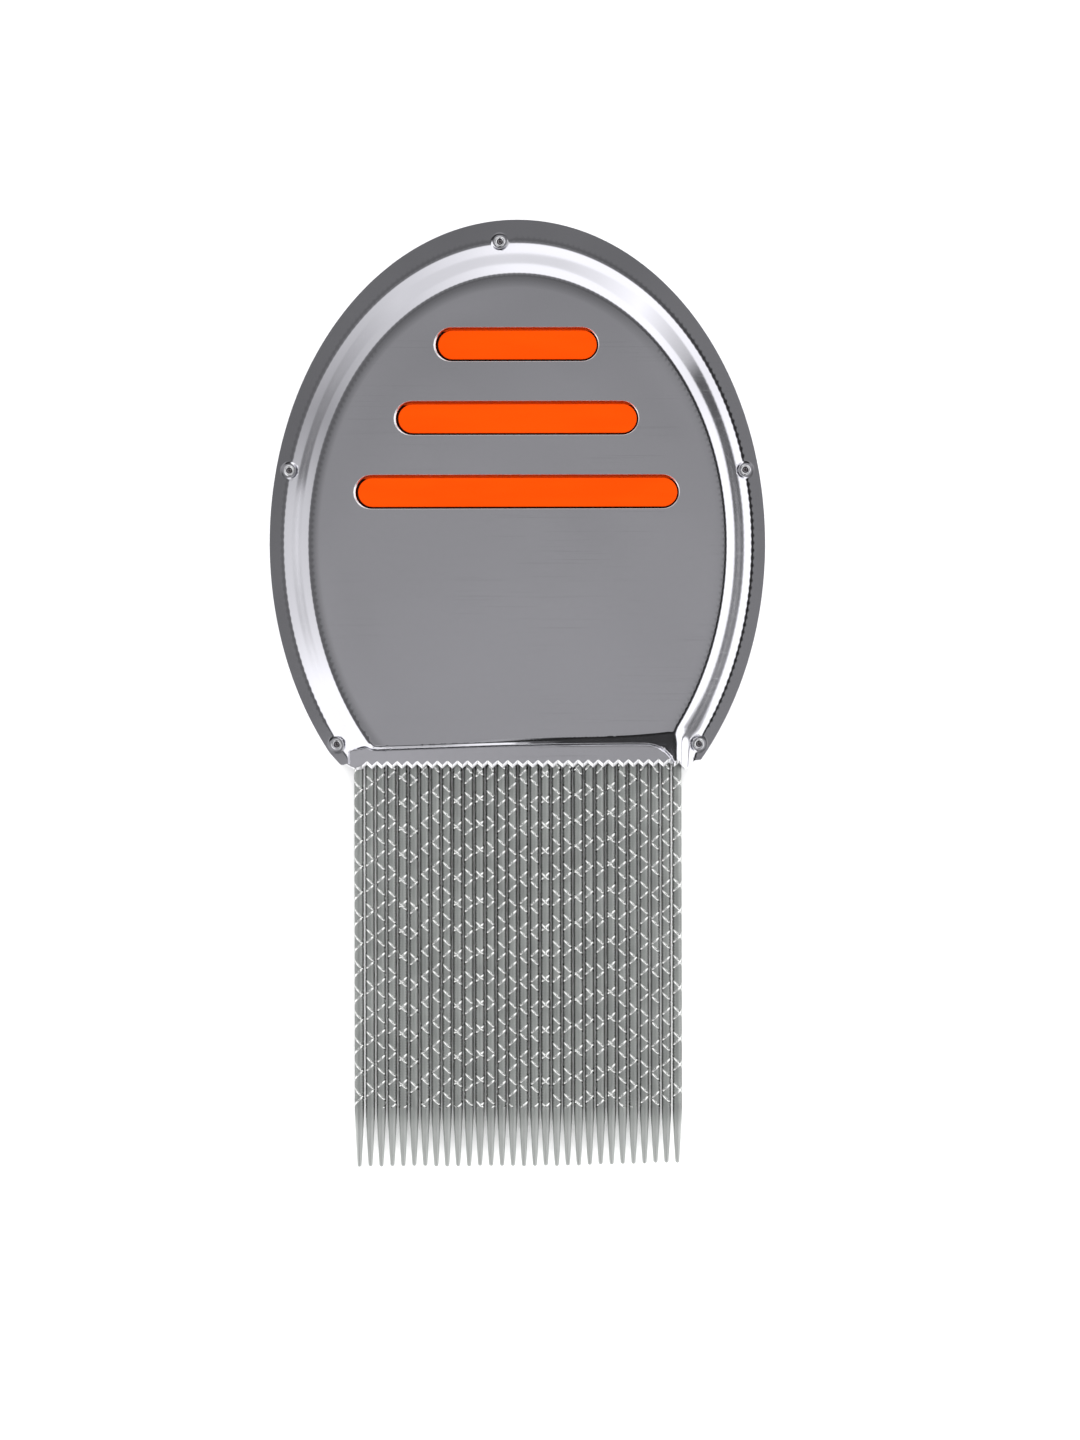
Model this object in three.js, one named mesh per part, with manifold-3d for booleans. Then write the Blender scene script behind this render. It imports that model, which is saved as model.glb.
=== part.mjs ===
// Flea and lice comb: two pressed steel shells clamped round a moulded grip insert and thirty wire teeth.
// The comb lies on its back panel: +X to the right, +Y from the teeth towards the top of the handle and
// +Z out of the front panel. The origin is under the middle of the comb, on the surface it lies on.
// All sizes are in millimetres. Heights in the functions below are measured from the seam of the shells.

import * as THREE from "three";
import { mergeVertices } from "three/addons/utils/BufferGeometryUtils.js";
import Module from "manifold-3d";

const wasm = await Module();
wasm.setup();

// ---------- Driving dimensions ----------

const COMB_LENGTH = 100;
const COMB_THICKNESS = 5;
const SEAM_HEIGHT = COMB_THICKNESS / 2;
const SHEET = 0.4; // thickness of the steel sheet
const HALF_SEAM = 0.02; // half the gap between the two rims

// The handle is an egg: two half ellipses that share their side radius and meet at EGG_Y.
const HANDLE_TOP_Y = COMB_LENGTH / 2;
const OUTLINE = { side: 26.2, top: 34.2, bottom: 34.0 };
const WALL_FOOT = { side: 24.5, top: 31.6, bottom: 32.7 };
const PANEL_EDGE = { side: 22.2, top: 28.6, bottom: 30.3 };
const EGG_Y = HANDLE_TOP_Y - OUTLINE.top;
const EGG_SEGMENTS = 72;

// Heights of the outer faces.
const RIM_Z = HALF_SEAM + SHEET;
const PANEL_Z = COMB_THICKNESS / 2;
const LIP_Z = 0.97;

// The pressed wall between rim and panel, with a chamfer in place of each bend.
const BEND_RUN = 0.3;
const BEND_RISE = 0.25;
const WALL_INSET = 0.4; // how far inside the outer wall the inner wall stands

// The lower lip: a flat step that grips the teeth, with a ramp up to the panel and a pinked edge.
const RAMP_TOP_Y = -4.4;
const LIP_TOP_Y = -5.7;
const RAMP_INSET = 0.5;
const LIP_CORNER = { x: 19.3, y: -7.35 };
const LIP_SHOULDER = { x: 17.65, y: -8.15 };
const LIP_STEP = { halfWidth: 18.1, run: 0.5 };
const LIP_MOUTH = { halfWidth: 17.6, run: 0.15 };
const PINK_COUNT = 32;
const PINK_PITCH = 1.06;
const PINK_PEAK_Y = -7.46;
const PINK_POINT_Y = -7.94;

const SLOT_HEIGHT = 3.45;
const SLOTS = [
  { y: 36.6, length: 17.1 },
  { y: 28.85, length: 25.5 },
  { y: 21.1, length: 34.0 },
];
const SLOT_ARC_SEGMENTS = 8;

const BAR_CLEARANCE = 0.2; // gap between a grip bar and its slot
const BAR_SHIFT = 0.05; // the insert sits a little to the right
const BAR_RECESS = 0.08; // how far a bar's face stays below the panel
const BAR_BEVEL = 0.25;
const CORE = { side: 21.6, halfThickness: 1.85, bottomY: -4.0 };
const ROOT_SLOT = { halfWidth: 17.7, halfHeight: 0.6, topY: 0.5 };

const TOOTH_COUNT = 30;
const TOOTH_PITCH = 1.157;
const TOOTH_RADIUS = 0.5;
const TOOTH_ROOT_Y = 0;
const TOOTH_TIP_Y = HANDLE_TOP_Y - COMB_LENGTH;
const TAPER_LENGTH = 6.2;
const TIP_RADIUS = 0.23;
const TOOTH_SIDES = 8;

const EYELETS = [
  { name: "eyelet_top", x: -1.8, y: 47.6 },
  { name: "eyelet_left", x: -24.05, y: 23.5 },
  { name: "eyelet_right", x: 24.05, y: 23.5 },
  { name: "eyelet_lower_left", x: -19.1, y: -5.4 },
  { name: "eyelet_lower_right", x: 19.1, y: -5.4 },
];
const EYELET_BORE = 0.3; // radii
const EYELET_BARREL = 0.44;
const EYELET_HEAD = 0.6;
const EYELET_HOLE = 0.49;
const EYELET_SEAT = 0.85; // the flat dent that each head sits in
const EYELET_HEAD_RISE = 0.16;
const EYELET_SIDES = 12;

// ---------- Materials ----------

const polishedSteel = { color: 0xb9babd, roughness: 0.12, metalness: 1 };
const wireSteel = { color: 0x9fa3a1, roughness: 0.3, metalness: 1 };
const eyeletSteel = { color: 0xc6c7c9, roughness: 0.2, metalness: 1 };
const orangePlastic = { color: 0xff5a00, roughness: 0.4, metalness: 0 };

// ---------- Helpers ----------

// A closed geometry as a manifold-3d solid.
function solid(geometry) {
  const bare = geometry.clone();
  bare.deleteAttribute("normal");
  bare.deleteAttribute("uv");
  const merged = mergeVertices(bare, 1e-4);
  const mesh = new wasm.Mesh({
    numProp: 3,
    vertProperties: merged.attributes.position.array,
    triVerts: new Uint32Array(merged.index.array),
  });
  return new wasm.Manifold(mesh);
}

// A manifold-3d solid as a geometry with flat shading.
function geometryOf(made) {
  const mesh = made.getMesh();
  const geometry = new THREE.BufferGeometry();
  geometry.setAttribute("position", new THREE.BufferAttribute(mesh.vertProperties, 3));
  geometry.setIndex(new THREE.BufferAttribute(mesh.triVerts, 1));
  const faceted = geometry.toNonIndexed();
  faceted.computeVertexNormals();
  return faceted;
}

// A named mesh whose own heights are measured from the seam.
function part(name, geometry, finish) {
  const mesh = new THREE.Mesh(geometry, new THREE.MeshStandardMaterial(finish));
  mesh.name = name;
  mesh.position.z = SEAM_HEIGHT;
  return mesh;
}

function prism(shape, depth, z0) {
  const settings = { depth, bevelEnabled: false, curveSegments: SLOT_ARC_SEGMENTS };
  const geometry = new THREE.ExtrudeGeometry(shape, settings);
  geometry.translate(0, 0, z0);
  return geometry;
}

// A block from low to high, symmetric about X and about the seam.
function block(halfWidth, y0, y1, halfHeight) {
  const geometry = new THREE.BoxGeometry(2 * halfWidth, y1 - y0, 2 * halfHeight);
  geometry.translate(0, (y0 + y1) / 2, 0);
  return solid(geometry);
}

function upright(radius, x, y, z0) {
  const geometry = new THREE.CylinderGeometry(radius, radius, COMB_THICKNESS, EYELET_SIDES);
  geometry.rotateX(Math.PI / 2);
  geometry.translate(x, y, z0 + COMB_THICKNESS / 2);
  return solid(geometry);
}

// The egg's upper or lower radius at a given side radius, drawn straight between the listed eggs.
function eggRadius(side, end) {
  if (side < PANEL_EDGE.side) return (side / PANEL_EDGE.side) * PANEL_EDGE[end];
  const onRim = side > WALL_FOOT.side;
  const inner = onRim ? WALL_FOOT : PANEL_EDGE;
  const outer = onRim ? OUTLINE : WALL_FOOT;
  return THREE.MathUtils.mapLinear(side, inner.side, outer.side, inner[end], outer[end]);
}

// A turned form stretched into the handle's egg. The profile holds [side radius, height] pairs,
// from the axis at the bottom to the axis at the top.
function eggForm(profile) {
  const points = profile.map(([side, z]) => new THREE.Vector2(side, z));
  const geometry = new THREE.LatheGeometry(points, EGG_SEGMENTS);
  geometry.rotateX(Math.PI / 2);
  const position = geometry.attributes.position;
  for (let i = 0; i < position.count; i++) {
    const side = Math.hypot(position.getX(i), position.getY(i));
    if (side < 1e-6) continue;
    const end = position.getY(i) > 0 ? "top" : "bottom";
    position.setY(i, (position.getY(i) / side) * eggRadius(side, end));
  }
  geometry.translate(0, EGG_Y, 0);
  return solid(geometry);
}

// ---------- Shells ----------

// The flat outline of a shell: the egg, cut off at the bottom by the pinked lip.
function shellOutline() {
  const shape = new THREE.Shape();
  const corner = Math.asin((LIP_CORNER.y - EGG_Y) / OUTLINE.bottom);
  const arc = (from, to, end) => {
    const steps = Math.ceil((Math.abs(to - from) / (2 * Math.PI)) * EGG_SEGMENTS);
    for (let i = 0; i <= steps; i++) {
      const angle = THREE.MathUtils.lerp(from, to, i / steps);
      shape.lineTo(OUTLINE.side * Math.cos(angle), EGG_Y + OUTLINE[end] * Math.sin(angle));
    }
  };
  shape.moveTo(LIP_SHOULDER.x, LIP_SHOULDER.y);
  shape.lineTo(LIP_CORNER.x, LIP_CORNER.y);
  arc(corner, 0, "bottom");
  arc(0, Math.PI, "top");
  arc(Math.PI, Math.PI - corner, "bottom");
  shape.lineTo(-LIP_CORNER.x, LIP_CORNER.y);
  shape.lineTo(-LIP_SHOULDER.x, LIP_SHOULDER.y);
  const first = (-PINK_COUNT / 2) * PINK_PITCH;
  for (let i = 0; i < PINK_COUNT; i++) {
    shape.lineTo(first + i * PINK_PITCH, PINK_PEAK_Y);
    shape.lineTo(first + (i + 0.5) * PINK_PITCH, PINK_POINT_Y);
  }
  shape.lineTo(-first, PINK_PEAK_Y);
  return shape;
}

// The step over the tooth roots: a flat-topped strip along Y, with sloped ends.
function lipStep({ halfWidth, run }, y1, z0, z1) {
  const shape = new THREE.Shape();
  shape.moveTo(-halfWidth, z0);
  shape.lineTo(halfWidth, z0);
  shape.lineTo(halfWidth - run, z1);
  shape.lineTo(-halfWidth + run, z1);
  const geometry = prism(shape, y1 - LIP_SHOULDER.y + 1, 0);
  geometry.rotateX(Math.PI / 2);
  geometry.translate(0, y1, 0);
  return solid(geometry);
}

// Everything below the panel, the ramp and the lip, right across the handle. inset moves the ramp up
// the handle and depth lowers the lip, for the inside of the sheet.
function belowRamp(inset, depth) {
  const rampY = (z) => THREE.MathUtils.mapLinear(z, LIP_Z, PANEL_Z, LIP_TOP_Y, RAMP_TOP_Y) + inset;
  const floor = -2 * SHEET;
  const ceiling = PANEL_Z + 1;
  const lip = LIP_Z - depth;
  const underY = LIP_SHOULDER.y - 1;
  const topY = HANDLE_TOP_Y + 1;
  const shape = new THREE.Shape();
  shape.moveTo(underY, floor);
  shape.lineTo(topY, floor);
  shape.lineTo(topY, ceiling);
  shape.lineTo(rampY(ceiling), ceiling);
  shape.lineTo(rampY(lip), lip);
  shape.lineTo(underY, lip);
  const halfWidth = OUTLINE.side + 2;
  const geometry = prism(shape, 2 * halfWidth, -halfWidth);
  geometry.rotateY(Math.PI / 2);
  geometry.rotateX(Math.PI / 2);
  return solid(geometry);
}

function slotShape(length, height) {
  const r = height / 2;
  const shape = new THREE.Shape();
  shape.absarc(length / 2 - r, 0, r, -Math.PI / 2, Math.PI / 2, false);
  shape.absarc(-length / 2 + r, 0, r, Math.PI / 2, (3 * Math.PI) / 2, false);
  return shape;
}

// One shell with its panel facing +Z. mirror is -1 for the shell that is turned over, so that its
// eyelet holes meet those of the other shell.
function shellGeometry(mirror) {
  const beyond = OUTLINE.side + 1;
  const outside = eggForm([
    [0, HALF_SEAM],
    [beyond, HALF_SEAM],
    [beyond, RIM_Z],
    [WALL_FOOT.side + BEND_RUN, RIM_Z],
    [WALL_FOOT.side - BEND_RUN, RIM_Z + BEND_RISE],
    [PANEL_EDGE.side + BEND_RUN, PANEL_Z - BEND_RISE],
    [PANEL_EDGE.side - BEND_RUN, PANEL_Z],
    [0, PANEL_Z],
  ]);
  const inside = eggForm([
    [0, -SHEET],
    [WALL_FOOT.side - WALL_INSET, -SHEET],
    [WALL_FOOT.side - WALL_INSET, HALF_SEAM],
    [PANEL_EDGE.side - WALL_INSET / 2, PANEL_Z - SHEET],
    [0, PANEL_Z - SHEET],
  ]);
  const step = lipStep(LIP_STEP, LIP_TOP_Y + WALL_INSET, HALF_SEAM, LIP_Z);
  const mouth = lipStep(LIP_MOUTH, RAMP_TOP_Y, -SHEET, LIP_Z - SHEET);
  const hollow = inside.intersect(belowRamp(RAMP_INSET, SHEET)).add(mouth);
  const outline = solid(prism(shellOutline(), COMB_THICKNESS, 0));
  const blank = outside.intersect(belowRamp(0, 0)).add(step);
  let shell = blank.intersect(outline).subtract(hollow);
  for (const { y, length } of SLOTS) {
    const cut = prism(slotShape(length, SLOT_HEIGHT), COMB_THICKNESS, 0);
    cut.translate(0, y, 0);
    shell = shell.subtract(solid(cut));
  }
  for (const { x, y } of EYELETS) {
    shell = shell.subtract(upright(EYELET_HOLE, mirror * x, y, -SHEET));
    shell = shell.subtract(upright(EYELET_SEAT, mirror * x, y, RIM_Z));
  }
  return geometryOf(shell);
}

function frontShell() {
  return part("front_shell", shellGeometry(1), polishedSteel);
}

function backShell() {
  const shell = part("back_shell", shellGeometry(-1), polishedSteel);
  shell.rotation.y = Math.PI;
  return shell;
}

// ---------- Grip insert ----------

// A moulded core between the shells. Its bars fill the slots of both, and the tooth roots lie in a
// slot in its lower edge.
function gripInsert() {
  const half = CORE.halfThickness;
  const egg = eggForm([
    [0, -half],
    [CORE.side, -half],
    [CORE.side, half],
    [0, half],
  ]);
  let insert = egg.subtract(block(OUTLINE.side, EGG_Y - OUTLINE.bottom, CORE.bottomY, COMB_THICKNESS));
  const faceZ = PANEL_Z - BAR_RECESS;
  const margin = 2 * (BAR_CLEARANCE + BAR_BEVEL);
  for (const { y, length } of SLOTS) {
    const bar = new THREE.ExtrudeGeometry(slotShape(length - margin, SLOT_HEIGHT - margin), {
      depth: 2 * (faceZ - BAR_BEVEL),
      bevelThickness: BAR_BEVEL,
      bevelSize: BAR_BEVEL,
      bevelSegments: 1,
      curveSegments: SLOT_ARC_SEGMENTS,
    });
    bar.translate(BAR_SHIFT, y, BAR_BEVEL - faceZ);
    insert = insert.add(solid(bar));
  }
  const { halfWidth, topY, halfHeight } = ROOT_SLOT;
  insert = insert.subtract(block(halfWidth, CORE.bottomY - 1, topY, halfHeight));
  return part("grip_insert", geometryOf(insert), orangePlastic);
}

// ---------- Teeth ----------

// One straight wire with a long taper to a blunt round tip, turned about its own axis.
function toothGeometry() {
  const taperTop = TOOTH_TIP_Y + TAPER_LENGTH;
  const middle = (TIP_RADIUS + TOOTH_RADIUS) / 2;
  const profile = [
    [0, TOOTH_TIP_Y],
    [TIP_RADIUS * Math.SQRT1_2, TOOTH_TIP_Y + TIP_RADIUS * (1 - Math.SQRT1_2)],
    [TIP_RADIUS, TOOTH_TIP_Y + TIP_RADIUS],
    [middle, TOOTH_TIP_Y + TAPER_LENGTH / 2],
    [TOOTH_RADIUS, taperTop],
    [TOOTH_RADIUS, TOOTH_ROOT_Y],
    [0, TOOTH_ROOT_Y],
  ];
  const points = profile.map(([r, y]) => new THREE.Vector2(r, y));
  return new THREE.LatheGeometry(points, TOOTH_SIDES);
}

function tooth(index) {
  const name = "tooth_" + String(index + 1).padStart(2, "0");
  const wire = part(name, toothGeometry(), wireSteel);
  wire.position.x = (index - (TOOTH_COUNT - 1) / 2) * TOOTH_PITCH;
  return wire;
}

// ---------- Eyelets ----------

// A tubular rivet through both rims, rolled over into a small ring on each side.
function eyelet({ name, x, y }) {
  const under = RIM_Z + HALF_SEAM;
  const crown = (EYELET_HEAD + EYELET_BORE) / 2;
  const upper = [
    [EYELET_BARREL, under],
    [EYELET_HEAD, under],
    [EYELET_HEAD, under + EYELET_HEAD_RISE / 2],
    [crown, under + EYELET_HEAD_RISE],
    [EYELET_BORE, under + EYELET_HEAD_RISE / 2],
  ];
  const lower = upper.map(([r, z]) => [r, -z]).reverse();
  const loop = [...lower, ...upper, lower[0]];
  const points = loop.map(([r, z]) => new THREE.Vector2(r, z));
  const geometry = new THREE.LatheGeometry(points, EYELET_SIDES);
  geometry.rotateX(Math.PI / 2);
  const ring = part(name, geometry, eyeletSteel);
  ring.position.x = x;
  ring.position.y = y;
  return ring;
}

// ---------- Assembly ----------

const comb = new THREE.Group();
comb.add(frontShell());
comb.add(backShell());
comb.add(gripInsert());
for (let i = 0; i < TOOTH_COUNT; i++) comb.add(tooth(i));
for (const place of EYELETS) comb.add(eyelet(place));

export default comb;
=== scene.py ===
import math
import random

import bmesh
import bpy
import numpy as np
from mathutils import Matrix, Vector
from mathutils.geometry import delaunay_2d_cdt


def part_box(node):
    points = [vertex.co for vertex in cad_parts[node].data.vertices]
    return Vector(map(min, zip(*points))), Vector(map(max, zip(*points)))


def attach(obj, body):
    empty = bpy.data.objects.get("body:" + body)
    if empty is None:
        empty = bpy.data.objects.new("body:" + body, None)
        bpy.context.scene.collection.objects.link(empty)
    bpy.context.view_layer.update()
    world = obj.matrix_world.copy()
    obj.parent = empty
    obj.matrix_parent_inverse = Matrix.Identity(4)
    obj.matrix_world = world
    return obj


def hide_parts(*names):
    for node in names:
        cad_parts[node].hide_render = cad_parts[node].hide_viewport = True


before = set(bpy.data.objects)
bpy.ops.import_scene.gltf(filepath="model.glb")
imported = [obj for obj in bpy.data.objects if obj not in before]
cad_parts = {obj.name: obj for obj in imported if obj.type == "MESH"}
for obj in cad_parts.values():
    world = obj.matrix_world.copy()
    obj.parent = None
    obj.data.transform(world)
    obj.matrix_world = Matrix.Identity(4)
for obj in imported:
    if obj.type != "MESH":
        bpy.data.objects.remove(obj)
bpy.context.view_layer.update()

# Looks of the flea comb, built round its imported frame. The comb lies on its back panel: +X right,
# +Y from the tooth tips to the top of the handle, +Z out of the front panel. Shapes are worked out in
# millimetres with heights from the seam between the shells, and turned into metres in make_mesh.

MM = 0.001
TAU = 2 * math.pi

# ---------- Sizes taken from the frame ----------


def box_mm(node):
    low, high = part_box(node)
    return np.array(low) / MM, np.array(high) / MM


front_low, front_high = box_mm("front_shell")
back_low, back_high = box_mm("back_shell")
SEAM_Z = (front_low[2] + back_high[2]) / 2
PANEL = front_high[2] - SEAM_Z
SIDE = front_high[0]
TOP_Y = front_high[1]
SHOULDER_Y = front_low[1]

# ---------- Handle sizes ----------

# Ellipses of the egg from the middle outwards, each with its side, top and bottom radius. The second is
# the panel's edge, the third is the foot of the wall and the fourth is the rim.
EGG = [(0, 0, 0), (22.2, 28.6, 30.3), (24.5, 31.6, 32.7), (26.2, 34.2, 34.0), (28.0, 36.95, 35.38)]
SIDES, TOPS, BOTTOMS = zip(*EGG)
PANEL_SIDE, PANEL_TOP, PANEL_BOTTOM = EGG[1]
RIM_TOP, RIM_BOTTOM = EGG[3][1:]
RIM_END_RIGHT, RIM_END_LEFT = -7.12, -6.3
EGG_Y = TOP_Y - RIM_TOP
# The side radius where the pressed wall is steepest, and how far the wall runs inwards and outwards.
WALL_MID, WALL_IN, WALL_OUT = 23.38, 1.58, 1.42
FOOT = WALL_MID + WALL_OUT
RIM_INNER, RIM_OUTER = 0.5, 0.43
SHEET_UNDER = 0.02
INNER_PANEL = PANEL - 0.4
LIP, LIP_UNDER = 0.97, 0.57
PINKS, PINK_PITCH, PINK_PEAK, PINK_POINT = 32, 1.06, -7.46, -7.94
# Two slight slopes read off the photo, which the CAD doesn't have: the lip's fall towards the teeth and
# the zigzag's rise to the right.
LIP_TILT = 0.045
PINK_SLANT = 0.006
SLOT_HEIGHT = 3.45
# The middle and the length of each slot.
SLOTS = [(36.6, 17.1), (28.85, 25.5), (21.1, 34.0)]
SLOT_BEVEL = 0.25
EYELET_NODES = ["eyelet_" + place for place in ("top", "left", "right", "lower_left", "lower_right")]
EYELETS = [tuple((np.add(*box_mm(n)) / 2)[:2]) for n in EYELET_NODES]
EYELET_HOLE = 0.49
EYELET_SEAT = 0.44


def smooth(low, high, v):
    t = np.clip((v - low) / (high - low), 0, 1)
    return t * t * (3 - 2 * t)


def ramp01(t, a, b):
    """0 to 1 along a straight slope, with a concave bend of half length a and a convex one of b."""
    rise = np.where(t < -a, 0, np.where(t < a, (t + a) ** 2 / (4 * a), t))
    return np.where(t > 1 + b, 1, np.where(t > 1 - b, 1 - (1 + b - t) ** 2 / (4 * b), rise))


def egg_radius(s, up):
    return np.where(up, np.interp(s, SIDES, TOPS), np.interp(s, SIDES, BOTTOMS))


def egg_side(x, y):
    """The side radius of the egg that passes through each point."""
    low = np.full_like(x, 0.01)
    high = np.full_like(x, SIDES[-1])
    up = y > EGG_Y
    for _ in range(34):
        mid = (low + high) / 2
        inside = (x / mid) ** 2 + ((y - EGG_Y) / egg_radius(mid, up)) ** 2 < 1
        high = np.where(inside, mid, high)
        low = np.where(inside, low, mid)
    return (low + high) / 2


def bent_y(x, y):
    """Turns the wall straight down beside the right end of the lip."""
    q = np.maximum(-3.8 - y, 0)
    reach = 0.8 + 2.2 * smooth(17.1, 18.4, x)
    turned = -3.8 - reach * (1 - np.exp(-q / reach))
    return np.where(q > 0, y + (turned - y) * smooth(9, 14, x), y)


def polygon_distance(pts, loop):
    """Distance of each point to the loop, negative inside."""
    a, b = loop, np.roll(loop, -1, 0)
    best = np.full(len(pts), 1e9)
    inside = np.zeros(len(pts), bool)
    for p, q in zip(a, b):
        d = q - p
        f = np.clip(((pts - p) @ d) / (d @ d), 0, 1)
        best = np.minimum(best, np.hypot(*(pts - p - f[:, None] * d).T))
        crosses = (p[1] > pts[:, 1]) != (q[1] > pts[:, 1])
        if crosses.any():
            with np.errstate(divide="ignore", invalid="ignore"):
                at = p[0] + (pts[:, 1] - p[1]) * d[0] / d[1]
            inside ^= crosses & (pts[:, 0] < at)
    return np.where(inside, -best, best)


def lip_region():
    """The foot of the step round the sunken lip, closed below the comb's edge.

    Its round right end is read off the photo, and closes the lip earlier than the CAD does.
    """
    turns = np.linspace(0, math.pi / 2, 15)
    end = [(13.3 + 3.05 * math.sin(a), -7.95 + 2.45 * math.cos(a)) for a in turns]
    left = [(-17.7, -9.4), (-17.7, -6.3), (-17.63, -6.12), (-17.45, -6.02), (-16.6, -5.87), (-16.1, -5.76)]
    left += [(-15.8, -5.8), (-15.5, -5.97), (-15.2, -6.06), (-14.6, -6.09)]
    across = [-15, -10.9, -6.7, -2.7, 1, 4.8, 11, 13.2]
    height = [-6.1, -5.97, -5.83, -5.7, -5.6, -5.53, -5.49, -5.5]
    x = np.arange(-13.5, 12.9, 1.2)
    return np.array(left + list(zip(x, np.interp(x, across, height))) + end + [(16.35, -9.4)])


LIP_REGION = lip_region()


def soft(q, r):
    """Rises from 0 and settles into a slope of 1 after r."""
    return np.where(q < r, np.maximum(q, 0) ** 2 / (2 * r), q - r / 2)


def wall_share(s, inner):
    """1 on the panel and 0 on the rim, as an S curve that is steepest at WALL_MID."""
    outer = WALL_OUT * 2.6 / 3.6
    u = np.clip((WALL_MID - s) / inner, 0, 1)
    v = np.clip((s - WALL_MID) / WALL_OUT, 0, 1)
    return (outer + inner * (u - u**3 / 3) - WALL_OUT * (v - v**3.6 / 3.6)) / (inner * 2 / 3 + outer)


def ledge_top(x):
    return -4.95 + 0.0254 * (x + 9) + 0.024 * np.maximum(x - 11, 0) ** 1.5


def ledge(x, y):
    """How far the panel has sunk towards the right half of the lip."""
    q = ledge_top(x) - y
    share = smooth(-9, 9, x) * (1 - 0.25 * smooth(15.6, 16.8, x))
    return share * (0.132 * soft(q, 0.08) + 0.08 * soft(q - 0.2, 0.12))


def lip_distance(x, y):
    d = np.full(x.shape, 9.0)
    near = y < -3.2
    if near.any():
        d[near] = polygon_distance(np.column_stack([x[near], y[near]]), LIP_REGION)
    return d


def step_width(x):
    return 0.13 + 0.06 * smooth(2, 8, x)


def inner_length(x, y):
    return WALL_IN - 0.5 * smooth(13, 16, x) * smooth(-3.6, -5.6, y)


def outer_height(x, y):
    s = egg_side(x, bent_y(x, y))
    angle = np.arctan2((y - EGG_Y) / 30, x / 23.5)
    rim = RIM_INNER + (RIM_OUTER - RIM_INNER) * np.clip((s - FOOT) / (SIDE - FOOT), -0.2, 1.2)
    share = wall_share(s, inner_length(x, y))
    roll = 0.034 * (1 - 0.75 * smooth(0.3, 0.8, np.cos(angle))) * np.maximum(s - 20.85, 0) ** 2
    wave = 0.006 * (np.sin(0.31 * x + 0.23 * y + 0.5) + np.sin(0.17 * x - 0.29 * y + 2) + 1)
    wave = np.maximum(wave, 0) * smooth(21.6, 18.5, s) * smooth(-4, -1, y)
    wobble = 0.012 * (np.sin(7 * angle + 1.3) + np.sin(13 * angle + 0.4) + 0.7 * np.sin(23 * angle + 2.1))
    z = rim + (PANEL - ledge(x, y) - roll - wave - rim) * share - wobble * share * (1 - share)
    d = lip_distance(x, y)
    bevel = 0.27 * smooth(6, -2, x) * smooth(-17.2, -16.4, x)
    z = z - bevel * (1 - ramp01((d - 0.12) / 0.36, 0.1, 0.12))
    lip = LIP - LIP_TILT * np.maximum(-5.7 - y, 0)
    z = lip + (z - lip) * ramp01(d / step_width(x), 0.2, 0.25)
    for ex, ey in EYELETS:
        r = np.hypot(x - ex, y - ey)
        z = z + (EYELET_SEAT - z) * (1 - smooth(0.68, 0.98, r))
    return z


def inner_height(x, y):
    s = egg_side(x, bent_y(x, y))
    share = wall_share(s + 0.42, inner_length(x, y))
    z = SHEET_UNDER + (INNER_PANEL - ledge(x, y) - SHEET_UNDER) * share
    z = LIP_UNDER + (z - LIP_UNDER) * ramp01((lip_distance(x, y) - 0.42) / step_width(x), 0.2, 0.25)
    mouth = SHEET_UNDER + (LIP_UNDER - SHEET_UNDER) * np.clip((17.6 - np.abs(x)) / 0.15, 0, 1)
    z = np.where(y < -4.9, np.maximum(z, mouth), np.maximum(z, SHEET_UNDER))
    return np.minimum(z, np.maximum(outer_height(x, y) - 0.3, SHEET_UNDER))


def height_normals(height, x, y):
    d = 0.004
    gx = (height(x + d, y) - height(x - d, y)) / (2 * d)
    gy = (height(x, y + d) - height(x, y - d)) / (2 * d)
    n = np.stack([-gx, -gy, np.ones_like(gx)], 1)
    return n / np.linalg.norm(n, axis=1)[:, None]


# ---------- Outlines ----------


def resample(points, step):
    out = []
    for a, b in zip(points, points[1:] + points[:1]):
        n = max(1, int(round(math.dist(a, b) / step)))
        out += [(a[0] + (b[0] - a[0]) * k / n, a[1] + (b[1] - a[1]) * k / n) for k in range(n)]
    return out


def rounded(points, radii, steps=5):
    """The closed polygon with the corners in radii replaced by arcs."""
    out = []
    n = len(points)
    for i, p in enumerate(points):
        if i not in radii:
            out.append(tuple(p))
            continue
        p, a, b = Vector(p), Vector(points[i - 1]), Vector(points[(i + 1) % n])
        u, v = (a - p).normalized(), (b - p).normalized()
        half = math.acos(max(-1, min(1, u.dot(v)))) / 2
        run = min(radii[i] / math.tan(half), (a - p).length * 0.49, (b - p).length * 0.49)
        start, end = p + u * run, p + v * run
        for k in range(steps + 1):
            f = k / steps
            q = start * (1 - f) ** 2 + p * 2 * f * (1 - f) + end * f * f
            out.append((q.x, q.y))
    return out


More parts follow.
